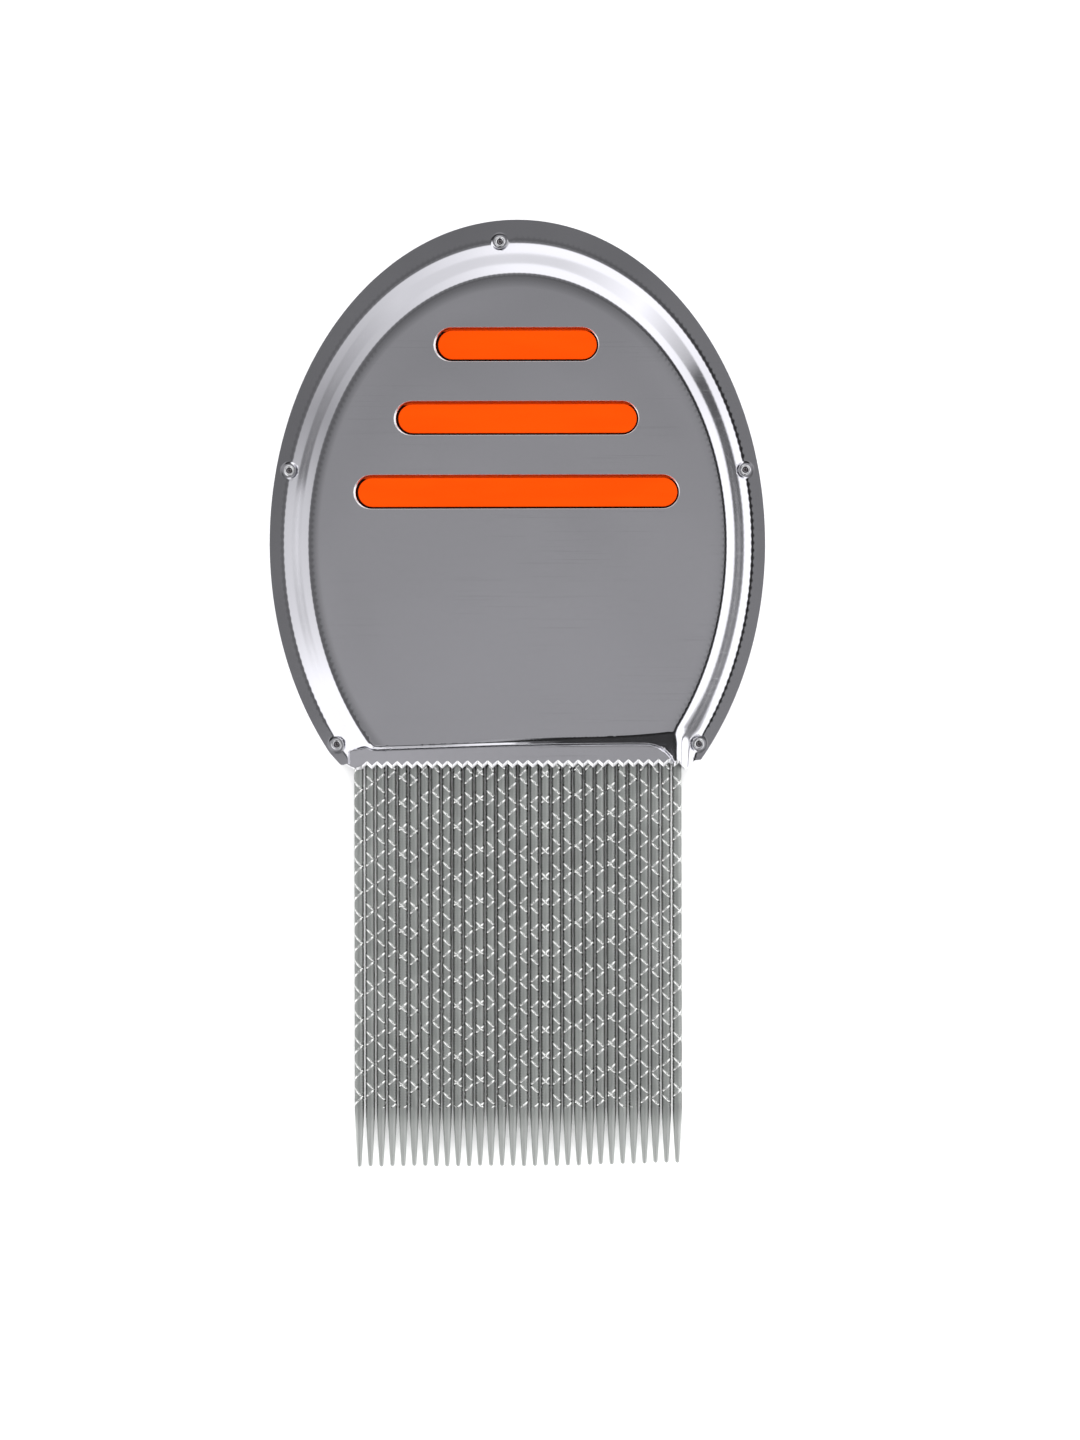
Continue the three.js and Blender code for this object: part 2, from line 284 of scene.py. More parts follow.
def shell_outline():
    """Counter-clockwise outline of a shell, with the way in to its top face and the fall from it."""
    start = math.asin((RIM_END_RIGHT - EGG_Y) / RIM_BOTTOM)
    stop = math.pi - math.asin((RIM_END_LEFT - EGG_Y) / RIM_BOTTOM)
    steps = 240
    arc = []
    for k in range(steps + 1):
        a = start + (stop - start) * k / steps
        y = (RIM_TOP if math.sin(a) > 0 else RIM_BOTTOM) * math.sin(a)
        arc.append((SIDE * math.cos(a), EGG_Y + y))
    zig = []
    for i in range(PINKS):
        x = (-PINKS / 2 + i) * PINK_PITCH
        zig += [(x + PINK_PITCH / 2, PINK_POINT), (x + PINK_PITCH, PINK_PEAK)]
    zig = [(x, y + PINK_SLANT * x) for x, y in zig]
    right = [(17.6, SHOULDER_Y + 0.05), (17.95, -7.92), (18.65, -7.2)]
    left = [(-18.68, -7.68), (-18.1, -7.5), (-17.0, SHOULDER_Y)]
    points = right + arc + left + zig
    first = len(right) + len(arc)
    radii = {0: 0.1, 1: 0.1, 2: 0.2, 3: 0.12, first: 0.75, first + 1: 0.2, first + 2: 0.2}
    radii.update({first + 3 + k: 0.06 for k in range(len(zig))})
    loop = np.array(resample(rounded(points, radii, 4), 0.45))
    pinked = smooth(17.4, 16.7, np.abs(loop[:, 0])) * (loop[:, 1] < -7.2)
    inward = -0.07 * loop_normals(loop) * (1 - pinked)[:, None] + np.outer(pinked, [0, 0.45])
    return loop, inward, 0.07 + 0.15 * pinked


def loop_normals(loop):
    """Outward normals of a counter-clockwise loop."""
    t = np.roll(loop, -1, 0) - np.roll(loop, 1, 0)
    n = np.stack([t[:, 1], -t[:, 0]], 1)
    return n / np.linalg.norm(n, axis=1)[:, None]


def stadium(y, length, height, cx=0.0, arc=14, step=1.3):
    """Counter-clockwise stadium loop and its outward normals."""
    r = height / 2
    run = length / 2 - r
    n = max(2, int(2 * run / step))
    pts, nrm = [], []
    for side in (1, -1):
        for k in range(arc + 1):
            a = -math.pi / 2 + math.pi * k / arc + (0 if side > 0 else math.pi)
            pts.append((cx + side * run + r * math.cos(a), y + r * math.sin(a)))
            nrm.append((math.cos(a), math.sin(a)))
        for k in range(1, n):
            pts.append((cx + side * (run - 2 * run * k / n), y + side * r))
            nrm.append((0, side))
    return np.array(pts), np.array(nrm)


def circle(x, y, r, n=20):
    a = np.arange(n) * TAU / n
    nrm = np.stack([np.cos(a), np.sin(a)], 1)
    return nrm * r + [x, y], nrm


def stadium_distance(x, y, cy, length, height):
    run = (length - height) / 2
    return np.hypot(np.maximum(np.abs(x) - run, 0), y - cy) - height / 2


# ---------- Mesh helpers ----------


def make_mesh(name, verts, faces, normals=None, attributes=None):
    """A linked object from millimetre vertices with heights from the seam."""
    mesh = bpy.data.meshes.new(name)
    world = (np.asarray(verts, float) + [0, 0, SEAM_Z]) * MM
    mesh.from_pydata(world.tolist(), [], [tuple(int(i) for i in f) for f in faces])
    mesh.polygons.foreach_set("use_smooth", [True] * len(mesh.polygons))
    for key, values in (attributes or {}).items():
        layer = mesh.attributes.new(key, "FLOAT", "POINT")
        layer.data.foreach_set("value", np.asarray(values, np.float32))
    mesh.update()
    if normals is not None:
        mesh.normals_split_custom_set_from_vertices(np.asarray(normals, float).tolist())
    made = bpy.data.objects.new(name, mesh)
    bpy.context.scene.collection.objects.link(made)
    return made


def triangulate(loops, scattered=()):
    """Triangles that keep every loop's edges: their points, themselves and each loop's point numbers."""
    flat, edges, runs = [], [], []
    for loop in loops:
        start, n = len(flat), len(loop)
        flat += loop.tolist()
        edges += [(start + k, start + (k + 1) % n) for k in range(n)]
        runs.append(range(start, start + n))
    flat += [list(p) for p in scattered]
    result = delaunay_2d_cdt([Vector(p) for p in flat], edges, [], 1, 1e-6, True)
    back = {old: new for new, group in enumerate(result[3]) for old in group}
    return np.array([(v.x, v.y) for v in result[0]]), result[2], [[back[k] for k in run] for run in runs]


# ---------- Shells ----------


def shell_points(inset):
    """Scattered points that carry the bends: rings along the wall, rows along the lip, a coarse panel."""
    stations = [25.8, 25.4, 25.1] + list(np.arange(24.92, 21.6, -0.17)) + [21.3, 20.8, 20.2]
    points = []
    n = 260
    for i, s in enumerate(stations):
        a = (np.arange(n) + 0.5 * (i % 2)) * TAU / n
        ring = np.stack([s * np.cos(a), EGG_Y + egg_radius(np.full(n, s), np.sin(a) > 0) * np.sin(a)], 1)
        points.append(ring)
    line = np.array(resample(LIP_REGION.tolist(), 0.32))
    out = loop_normals(line)
    out = out if polygon_distance(line[:1] + out[:1] * 0.1, LIP_REGION)[0] > 0 else -out
    for off in (-0.3, -0.12, -0.03, 0.06, 0.15, 0.24, 0.33, 0.42, 0.52, 0.64, 0.8):
        points.append(line + out * off)
    x = np.arange(-10, 17.5, 0.4)
    for off in (0.08, 0, -0.08, -0.2, -0.32, -0.5):
        points.append(np.stack([x, ledge_top(x) + off], 1))
    for y in (-6.5, -6.85, -7.1):
        x = np.arange(-18.5, 18.5, PINK_PITCH / 3)
        points.append(np.stack([x, np.full_like(x, y)], 1))
    for x0, x1 in ((15.4, 20.2), (-20.2, -16.4)):
        gx, gy = np.meshgrid(np.arange(x0, x1, 0.16), np.arange(-8.0, -3.4, 0.16))
        points.append(np.stack([gx.ravel(), gy.ravel()], 1))
    gx, gy = np.meshgrid(np.arange(-22, 22, 1.3), np.arange(-4, 46, 1.3))
    panel = np.stack([gx.ravel(), gy.ravel()], 1)
    points.append(panel[egg_side(panel[:, 0], panel[:, 1]) < 20.0])
    for ex, ey in EYELETS:
        for r in (0.6, 0.68, 0.76, 0.84, 0.92, 1.0, 1.1):
            points.append(circle(ex, ey, r, 22)[0])
    points = np.concatenate(points)
    keep = polygon_distance(points, inset) < -0.07
    for cy, length in SLOTS:
        keep &= stadium_distance(points[:, 0], points[:, 1], cy, length, SLOT_HEIGHT) > SLOT_BEVEL + 0.12
    for ex, ey in EYELETS:
        keep &= np.hypot(points[:, 0] - ex, points[:, 1] - ey) > 0.55
    seen, chosen = set(), []
    for p in points[keep]:
        key = (round(p[0] / 0.07), round(p[1] / 0.07))
        if key not in seen:
            seen.add(key)
            chosen.append(p)
    return np.array(chosen)


def slot_bevel(nrm):
    """Width and fall of a slot's bevel: wide at the left, steep along the top, next to nothing below."""
    width = 0.035 + 0.205 * np.maximum(-nrm[:, 0], 0) ** 1.5 + 0.07 * np.maximum(nrm[:, 0], 0) ** 2
    width = width + 0.13 * np.maximum(nrm[:, 1], 0) ** 3
    return width, width * (0.78 + 0.75 * np.maximum(nrm[:, 1], 0) ** 3)


def shell_surface():
    """Vertices, faces, normals and sheet-edge weights of the front shell."""
    outline, inward, fall = shell_outline()
    inset = outline + inward
    loops = [inset]
    slots = []
    for cy, length in SLOTS:
        loop, nrm = stadium(cy, length, SLOT_HEIGHT)
        width, depth = slot_bevel(nrm)
        slots.append((loop, nrm, width, depth))
        loops.append(loop + nrm * width[:, None])
    holes = [circle(ex, ey, EYELET_HOLE) for ex, ey in EYELETS]
    loops += [h[0] for h in holes]
    xy, tris, ids = triangulate(loops, shell_points(inset))
    tris = np.array(tris)
    centre = xy[tris].mean(1)
    keep = polygon_distance(centre, inset) < 0
    for loop in loops[1:]:
        keep &= polygon_distance(centre, loop) > 0
    tris = tris[keep]
    x, y = xy[:, 0], xy[:, 1]
    a, b, c = xy[tris[:, 0]], xy[tris[:, 1]], xy[tris[:, 2]]
    turned = np.cross(b - a, c - a) < 0
    tris[turned] = tris[turned][:, ::-1]
    top_z, under_z = outer_height(x, y), inner_height(x, y)
    top_n = height_normals(outer_height, x, y)
    under_n = -height_normals(inner_height, x, y)
    n = len(xy)
    verts = [np.column_stack([xy, top_z]), np.column_stack([xy, under_z])]
    normals = [top_n, under_n]
    faces = [tuple(t) for t in tris] + [(t[2] + n, t[1] + n, t[0] + n) for t in tris]
    edge = [np.zeros(n), np.zeros(n)]
    total = 2 * n

    def skirt(own, rows, flip):
        """Strips from the upper loop through the rows to the same loop on the underside."""
        nonlocal total
        m = len(own)
        chain = [np.array(own)]
        for place, z in rows:
            verts.append(np.column_stack([place, np.broadcast_to(z, m)]))
            normals.append(np.zeros((m, 3)))
            edge.append(np.ones(m))
            chain.append(total + np.arange(m))
            total += m
        chain.append(np.array(own) + n)
        for upper, lower in zip(chain, chain[1:]):
            for k in range(m):
                j = (k + 1) % m
                quad = (upper[k], lower[k], lower[j], upper[j])
                faces.append(quad[::-1] if flip else quad)

    zt, zu = top_z[ids[0]], under_z[ids[0]]
    round_edge = ((0.08, 0.03), (0.2, 0.14), (0.85, 0.84), (0.97, 1), (1, 1.1))
    rows = [(inset - inward * f, zt - fall * g) for f, g in round_edge]
    rows += [(outline, zu + 0.05), (outline + inward * 0.15, zu + 0.005)]
    skirt(ids[0], rows, False)
    for (loop, nrm, width, depth), own in zip(slots, ids[1 : 1 + len(SLOTS)]):
        top = top_z[own]
        rows = [
            (loop + nrm * (width * (1 - f))[:, None], top - depth * g)
            for f, g in ((0.06, 0.02), (0.15, 0.12), (0.85, 0.86), (0.96, 0.98), (1, 1.08))
        ]
        turned_in = ((0, 0.5), (0.03, 0.54), (0.2, 0.54), (0.26, 0.5), (0.28, 0.44))
        rows += [(loop + nrm * off, PANEL - down) for off, down in turned_in]
        verts[1][own] = np.column_stack([loop + nrm * 0.3, np.full(len(own), INNER_PANEL)])
        skirt(own, rows, True)
    for (loop, nrm), own in zip(holes, ids[1 + len(SLOTS) :]):
        z = top_z[own]
        skirt(own, [(loop, z - 0.04), (loop, z - 0.3)], True)
    return np.concatenate(verts), faces, np.concatenate(normals), np.concatenate(edge)


# ---------- Grip insert ----------

BAR_TRIM, BAR_HEIGHT = 0.4, 3.05
BAR_SHIFT = 0.05
BAR_RECESS = 0.08
BAR_ROUND = 0.14
BAR_CROWN = 0.016
CORE_SIDE, CORE_HALF, CORE_BOTTOM = 21.6, 1.85, -4.0
ROOT_HALF_WIDTH, ROOT_HALF_HEIGHT, ROOT_TOP = 17.7, 0.6, 0.5


def insert_surface():
    """The closed surface of the core with its bars, before the slot for the tooth roots is cut."""
    bottom_r = CORE_SIDE / PANEL_SIDE * PANEL_BOTTOM
    top_r = CORE_SIDE / PANEL_SIDE * PANEL_TOP
    corner = math.asin((CORE_BOTTOM - EGG_Y) / bottom_r)
    outline = []
    for k in range(181):
        a = corner + (math.pi - 2 * corner) * k / 180
        r = top_r if math.sin(a) > 0 else bottom_r
        outline.append((CORE_SIDE * math.cos(a), EGG_Y + r * math.sin(a)))
    outline = np.array(resample(outline, 1.2))
    bars = []
    for cy, length in SLOTS:
        bars.append(stadium(cy, length - BAR_TRIM, BAR_HEIGHT, BAR_SHIFT)[0])
    xy, found, ids = triangulate([outline] + bars)
    tris = []
    for f in found:
        c = xy[list(f)].mean(0)
        in_bar = any(
            stadium_distance(c[0] - BAR_SHIFT, c[1], cy, length - BAR_TRIM, BAR_HEIGHT) < -0.01
            for cy, length in SLOTS
        )
        if not in_bar:
            a, b, d = (xy[i] for i in f)
            tris.append(tuple(f) if np.cross(b - a, d - a) > 0 else tuple(f)[::-1])
    n = len(xy)
    verts = [np.column_stack([xy, np.full(n, CORE_HALF)]), np.column_stack([xy, np.full(n, -CORE_HALF)])]
    faces = tris + [tuple(i + n for i in t[::-1]) for t in tris]
    total = 2 * n
    own = ids[0]
    m = len(own)
    for k in range(m):
        j = (k + 1) % m
        faces.append((own[k], own[k] + n, own[j] + n, own[j]))
    face_z = PANEL - BAR_RECESS
    edge_z = face_z - BAR_CROWN
    for loop, own in zip(bars, ids[1:]):
        m = len(loop)
        for sign, shift in ((1, 0), (-1, n)):
            rows = [np.array(own) + shift]
            stations = [(0, edge_z - BAR_ROUND - 0.02)]
            for k in range(1, 7):
                a = k * math.pi / 12
                stations.append((BAR_ROUND * (1 - math.cos(a)), edge_z - BAR_ROUND * (1 - math.sin(a))))
            stations += [(0.55, face_z - 0.5 * BAR_CROWN), (1.0, face_z - 0.12 * BAR_CROWN), (1.42, face_z)]
            x = loop[:, 0]
            spine = np.clip(x, x.min() + 1.6, x.max() - 1.6)
            centre = np.column_stack([spine, np.full(m, loop[:, 1].mean())])
            reach = np.linalg.norm(loop - centre, axis=1)
            for off, z in stations:
                ring = centre + (loop - centre) * (1 - off / reach)[:, None]
                verts.append(np.column_stack([ring, np.full(m, sign * z)]))
                rows.append(total + np.arange(m))
                total += m
            for lower, upper in zip(rows, rows[1:]):
                for k in range(m):
                    j = (k + 1) % m
                    quad = (lower[k], lower[j], upper[j], upper[k])
                    faces.append(quad if sign > 0 else quad[::-1])
            cap = tuple(rows[-1])
            faces.append(cap if sign > 0 else cap[::-1])
    return np.concatenate(verts), faces


def cut_root_slot(piece):
    low = np.array([-ROOT_HALF_WIDTH, CORE_BOTTOM - 3, SEAM_Z - ROOT_HALF_HEIGHT]) * MM
    high = np.array([ROOT_HALF_WIDTH, ROOT_TOP, SEAM_Z + ROOT_HALF_HEIGHT]) * MM
    bm = bmesh.new()
    bmesh.ops.create_cube(bm, size=1)
    for v in bm.verts:
        v.co = Vector([low[i] if v.co[i] < 0 else high[i] for i in range(3)])
    mesh = bpy.data.meshes.new("cutter")
    bm.to_mesh(mesh)
    bm.free()
    cutter = bpy.data.objects.new("cutter", mesh)
    bpy.context.scene.collection.objects.link(cutter)
    cut = piece.modifiers.new("root_slot", "BOOLEAN")
    cut.operation, cut.solver, cut.object = "DIFFERENCE", "EXACT", cutter
    bpy.context.view_layer.update()
    baked = bpy.data.meshes.new_from_object(piece.evaluated_get(bpy.context.evaluated_depsgraph_get()))
    piece.modifiers.clear()
    piece.data = baked
    bpy.data.objects.remove(cutter)
    bpy.data.meshes.remove(mesh)


# ---------- Teeth ----------

tooth_low, tooth_high = box_mm("tooth_01")
TOOTH_R = float(tooth_high[0] - tooth_low[0]) / 2
GROOVE_PITCH = 2.7
GROOVE_DEPTH = 0.1
GROOVE_TOP, TAPER_TOP = -6.4, -43.8
# Places across one cell of the two crossed grooves, close together where a groove lies.
STATIONS = [0, 0.016, 0.033, 0.05, 0.066, 0.175, 0.283, 0.392, 0.5]
STATIONS += [0.608, 0.717, 0.825, 0.934, 0.95, 0.967, 0.984, 1]
TIP_R = 0.23
TEETH = 30
# The tips are uneven: each is short by a random bit, and from one tooth on they are shorter to the right.
TIP_UNEVEN, TIP_RISE, RISE_FROM = 0.1, 0.34, 17
# Painted shade on the flanks, where the teeth shade each other: the share of the radius where it starts,
# where it ends near the tip, and how dark the two outer flanks are. The tips are painted lighter, a painted
# highlight.
FLANK_SHADE, FLANK_SHADE_END, OUTER_FLANK_SHADE = (0.72, 0.93), (-46.5, -43.0), 0.45
TIP_PAINTED_LIGHT = (-46.5, -43.5)


def groove_cross(a):
    """1 in the middle of a groove and 0 outside it."""
    d = np.abs(a - np.round(a))
    t = np.clip(1 - d / 0.062, 0, 1)
    return 0.5 * t + 0.5 * t * t * (3 - 2 * t)


def tooth_surface(rng, tip_y):
    """A round wire with two crossed helical grooves, a long taper and a blunt round tip."""
    turn, slide = rng.uniform(0, TAU), rng.uniform(0, GROOVE_PITCH)
    stations = np.array(STATIONS)
    cells = int(2 * (GROOVE_TOP - TAPER_TOP) / GROOVE_PITCH) + 8
    index, verts, grooves, faces = {}, [], [], []
    m = len(stations)
    for c in range(cells):
        ids = np.zeros((m, m), int)
        for p in range(m):
            for q in range(m):
                a, b = c + stations[p], stations[q]
                key = (round((a - b) * 1000), round(((a + b) % 2) * 1000) % 2000)
                if key not in index:
                    index[key] = len(verts)
                    run = GROOVE_PITCH * (a - b) / 2
                    y = GROOVE_TOP + 2 * GROOVE_PITCH - slide - run
                    angle = math.pi * (a + b) + turn
                    verts.append((angle, y))
                    grooves.append(max(groove_cross(a), groove_cross(b)))
                ids[p, q] = index[key]
        for p in range(m - 1):
            for q in range(m - 1):
                faces.append((ids[p, q], ids[p, q + 1], ids[p + 1, q + 1], ids[p + 1, q]))
    angle, y = np.array(verts).T
    groove = np.array(grooves) * smooth(TAPER_TOP - 0.1, TAPER_TOP + 0.5, y)
    r = TOOTH_R - GROOVE_DEPTH * groove
    bm = bmesh.new()
    layer = bm.verts.layers.float.new("groove")
    made = []
    for k in range(len(angle)):
        v = bm.verts.new((r[k] * math.sin(angle[k]), y[k], r[k] * math.cos(angle[k])))
        v[layer] = groove[k]
        made.append(v)
    for f in faces:
        bm.faces.new([made[i] for i in f])
    for height, clear_up in ((GROOVE_TOP, True), (TAPER_TOP, False)):
        bmesh.ops.bisect_plane(
            bm,
            geom=bm.verts[:] + bm.edges[:] + bm.faces[:],
            plane_co=(0, height, 0),
            plane_no=(0, 1, 0),
            clear_outer=clear_up,
            clear_inner=not clear_up,
        )
    for height in (GROOVE_TOP, TAPER_TOP):
        rim = [v for v in bm.verts if abs(v.co.y - height) < 1e-5 and v.is_boundary]
        rim.sort(key=lambda v: math.atan2(v.co.x, v.co.z))
        directions = [Vector((v.co.x, 0, v.co.z)).normalized() for v in rim]
        rows = [rim]
        if height == GROOVE_TOP:
            profile = [(-6.0, TOOTH_R), (-0.1, TOOTH_R), (0.0, TOOTH_R - 0.1)]
        else:
            profile = []
            for k in range(1, 13):
                f = k / 12
                at = height + (tip_y + TIP_R - height) * f
                profile.append((at, TOOTH_R - (TOOTH_R - TIP_R) * f ** 1.15))
            for k in range(1, 5):
                a = k * math.pi / 10
                profile.append((tip_y + TIP_R * (1 - math.sin(a)), TIP_R * math.cos(a)))
        for at, radius in profile:
            row = []
            for d in directions:
                v = bm.verts.new((d.x * radius, at, d.z * radius))
                row.append(v)
            rows.append(row)
        down = height == TAPER_TOP
        for upper, lower in zip(rows, rows[1:]):
            for k in range(len(rim)):
                j = (k + 1) % len(rim)
                quad = [upper[k], upper[j], lower[j], lower[k]]
                bm.faces.new(quad if down else quad[::-1])
        end = bm.verts.new((0, tip_y if down else 0.0, 0))
        last = rows[-1]
        for k in range(len(last)):
            j = (k + 1) % len(last)
            tri = [last[k], last[j], end]
            bm.faces.new(tri if down else tri[::-1])
    bmesh.ops.recalc_face_normals(bm, faces=bm.faces[:])
    return bm


def add_tooth(number, rng):
    node = f"tooth_{number:02d}"
    low, high = box_mm(node)
    cx = (low[0] + high[0]) / 2
    tip_y = low[1] + rng.uniform(0, TIP_UNEVEN) + TIP_RISE * float(smooth(RISE_FROM, TEETH, number))
    bm = tooth_surface(rng, tip_y)
    # Painted shade on each flank, where the neighbouring tooth shades it; milder on the outer flanks of the
    # two end teeth.
    flank_shade = bm.verts.layers.float.new("flank_shade")
    for v in bm.verts:
        outer = (number == 1 and v.co.x < 0) or (number == TEETH and v.co.x > 0)
        share = float(smooth(*FLANK_SHADE, abs(v.co.x) / TOOTH_R)) * float(smooth(*FLANK_SHADE_END, v.co.y))
        v[flank_shade] = share * (OUTER_FLANK_SHADE if outer else 1.0)
        v.co = Vector(((v.co.x + cx) * MM, v.co.y * MM, (v.co.z + SEAM_Z) * MM))
    mesh = bpy.data.meshes.new(node + "_wire")
    bm.to_mesh(mesh)
    bm.free()
    mesh.polygons.foreach_set("use_smooth", [True] * len(mesh.polygons))
    made = bpy.data.objects.new(node + "_wire", mesh)
    bpy.context.scene.collection.objects.link(made)
    return made, node


# ---------- Eyelets ----------

EYELET_PROFILE = [
    (0.1, 0.315), (0.2, 0.34), (0.26, 0.385), (0.29, 0.45), (0.32, 0.52), (0.37, 0.575), (0.44, 0.6),
    (0.51, 0.59), (0.57, 0.55), (0.6, 0.49), (0.585, 0.445), (0.44, 0.44),
]
EYELET_WEB = 0.3


def eyelet_surface(rng):
    """A closed rivet with a rolled head and a dimple on each side, and the weight of the painted shade in
    its dimples.
    """
    loop = EYELET_PROFILE + [(r, -z) for r, z in reversed(EYELET_PROFILE)]
    sides = 36
    phase = rng.uniform(0, TAU)
    verts, faces, dimple = [], [], []
    for k in range(sides):
        a = k * TAU / sides
        for r, z in loop:
            swell = 1 + (0.03 * math.sin(3 * a + phase) - 0.03 if r > 0.45 else 0)
            verts.append((r * swell * math.cos(a), r * swell * math.sin(a), z))
            # Weight of the painted shade: full down the bore and on the web, gone by the edge of the hole.
            dimple.append(float(smooth(0.33, 0.24, r)))
    m = len(loop)
    for k in range(sides):
        n = (k + 1) % sides
        for i in range(m - 1):
            faces.append((k * m + i, n * m + i, n * m + i + 1, k * m + i + 1)[::-1])
        faces.append((n * m, k * m, sides * m)[::-1])
        faces.append((k * m + m - 1, n * m + m - 1, sides * m + 1)[::-1])
    verts += [(0, 0, EYELET_WEB), (0, 0, -EYELET_WEB)]
    return np.array(verts), faces, dimple + [1.0, 1.0]


# ---------- Materials ----------


def grey(level):
    return (level, level, level, 1)


class Nodes:
    """Short calls for a node tree."""

    def __init__(self, tree):
        self.tree = tree
        tree.nodes.clear()

    def add(self, kind, **settings):
        node = self.tree.nodes.new(kind)
        for key, value in settings.items():
            setattr(node, key, value)
        return node

    def link(self, source, target):
        self.tree.links.new(source, target)

    def put(self, socket, value):
        if isinstance(value, bpy.types.NodeSocket):
            self.link(value, socket)
        else:
            socket.default_value = value

    def math(self, operation, a, b=0.0, clamp=False):
        node = self.add("ShaderNodeMath", operation=operation, use_clamp=clamp)
        self.put(node.inputs[0], a)
        self.put(node.inputs[1], b)
        return node.outputs[0]

    def mapped(self, value, low, high, to_low=0.0, to_high=1.0, kind="SMOOTHSTEP"):
        node = self.add("ShaderNodeMapRange", interpolation_type=kind)
        for socket, v in zip(node.inputs, (value, low, high, to_low, to_high)):
            self.put(socket, v)
        return node.outputs[0]

    def mix(self, factor, a, b):
        node = self.add("ShaderNodeMix", data_type="RGBA")
        self.put(node.inputs[0], factor)
        self.put(node.inputs[6], a)
        self.put(node.inputs[7], b)
        return node.outputs[2]

    def blend(self, factor, a, b):
        node = self.add("ShaderNodeMix", data_type="FLOAT")
        self.put(node.inputs[0], factor)
        self.put(node.inputs[2], a)
        self.put(node.inputs[3], b)
        return node.outputs[0]

    def noise(self, vector, scale, detail=2.0, rough=0.5):
        node = self.add("ShaderNodeTexNoise")
        self.put(node.inputs["Vector"], vector)
        self.put(node.inputs["Scale"], scale)
        self.put(node.inputs["Detail"], detail)
        self.put(node.inputs["Roughness"], rough)
        return node.outputs[0]

    def mapping(self, vector, rotation, scale):
        node = self.add("ShaderNodeMapping")
        self.put(node.inputs["Vector"], vector)
        self.put(node.inputs["Rotation"], rotation)
        self.put(node.inputs["Scale"], scale)
        return node.outputs[0]

    def ramp(self, value, stops):
        node = self.add("ShaderNodeValToRGB")
        elements = node.color_ramp.elements
        while len(elements) > 1:
            elements.remove(elements[-1])
        for k, (at, level) in enumerate(stops):
            e = elements[0] if k == 0 else elements.new(at)
            e.position = at
            e.color = grey(level)
        self.put(node.inputs[0], value)
        return node.outputs[0]


def material(name):
    made = bpy.data.materials.new(name)
    made.use_nodes = True
    n = Nodes(made.node_tree)
    shader = n.add("ShaderNodeBsdfPrincipled")
    out = n.add("ShaderNodeOutputMaterial")
    n.link(shader.outputs[0], out.inputs[0])
    where = n.add("ShaderNodeTexCoord").outputs["Object"]
    return made, n, shader, where


def hairlines(n, where, angle, across, along, low, high):
    """Sparse fine scratches in one direction."""
    lines = n.noise(n.mapping(where, (0, 0, angle), (along, across, along)), 1.0, 1.0)
    patches = n.noise(where, 90.0, 1.0)
    return n.math("MULTIPLY", n.mapped(lines, low, high), n.mapped(patches, 0.45, 0.6))


def bump(n, shader, height, strength, distance):
    node = n.add("ShaderNodeBump")
    node.inputs["Strength"].default_value = strength
    node.inputs["Distance"].default_value = distance
    n.put(node.inputs["Height"], height)
    n.link(node.outputs[0], shader.inputs["Normal"])


def shell_steel():
    made, n, shader, where = material("polished_shell_steel")
    cloud = n.noise(where, 55.0, 3.0)
    grain = n.noise(where, 1800.0, 2.0)
    scratches = n.math(
        "ADD",
        hairlines(n, where, 0.35, 9000.0, 70.0, 0.66, 0.74),
        hairlines(n, where, 1.9, 8000.0, 60.0, 0.68, 0.75),
        clamp=True,
    )
    wear = n.add("ShaderNodeAttribute", attribute_name="edge").outputs["Fac"]
    tone = n.mapped(cloud, 0.35, 0.65)
    colour = n.mix(tone, (0.665, 0.661, 0.71, 1), (0.70, 0.696, 0.745, 1))
    n.put(shader.inputs["Base Color"], n.mix(wear, colour, (0.78, 0.78, 0.80, 1)))
    rough = n.mapped(cloud, 0.3, 0.7, 0.07, 0.125, "LINEAR")
    rough = n.math("ADD", rough, n.math("MULTIPLY", grain, 0.03))
    rough = n.math("ADD", rough, n.math("MULTIPLY", scratches, 0.035))
    rough = n.math("ADD", rough, n.math("MULTIPLY", wear, 0.12))
    n.put(shader.inputs["Roughness"], rough)
    shader.inputs["Metallic"].default_value = 1.0
    bump(n, shader, n.math("SUBTRACT", n.math("MULTIPLY", grain, 0.1), scratches), 0.04, 0.00001)
    return made


def tooth_steel():
    made, n, shader, where = material("drawn_tooth_steel")
    drawn = n.noise(n.mapping(where, (0, 0, 0), (2600.0, 160.0, 2600.0)), 1.0, 2.0)
    cloud = n.noise(where, 260.0, 2.0)
    groove = n.add("ShaderNodeAttribute", attribute_name="groove").outputs["Fac"]
    colour = n.mix(n.mapped(cloud, 0.35, 0.65), (0.365, 0.378, 0.37, 1), (0.425, 0.44, 0.43, 1))
    parts = n.add("ShaderNodeSeparateXYZ")
    n.link(where, parts.inputs[0])
    # The tips are painted a lighter steel, a painted highlight for the light their taper catches.
    tip_light = n.mapped(parts.outputs[1], TIP_PAINTED_LIGHT[0] * MM, TIP_PAINTED_LIGHT[1] * MM, 1.0, 0.0)
    colour = n.mix(tip_light, colour, (0.56, 0.575, 0.565, 1))
    flank_shade = n.add("ShaderNodeAttribute", attribute_name="flank_shade").outputs["Fac"]
    # The grooves are painted a lighter steel, a painted highlight standing in for their glints.
    colour = n.mix(n.mapped(groove, 0.05, 0.4), colour, (0.86, 0.87, 0.86, 1))
    # The flanks are painted near-black, a painted shade for the shadow between the teeth.
    flank_shade_weight = n.math("MULTIPLY", flank_shade, 0.96)
    n.put(shader.inputs["Base Color"], n.mix(flank_shade_weight, colour, (0.03, 0.031, 0.03, 1)))
    rough = n.mapped(drawn, 0.3, 0.7, 0.62, 0.68, "LINEAR")
    shine = n.math("MULTIPLY", n.mapped(groove, 0.0, 0.25), 0.5)
    n.put(shader.inputs["Roughness"], n.math("SUBTRACT", rough, shine))
    shader.inputs["Metallic"].default_value = 1.0
    bump(n, shader, drawn, 0.03, 0.00002)
    return made


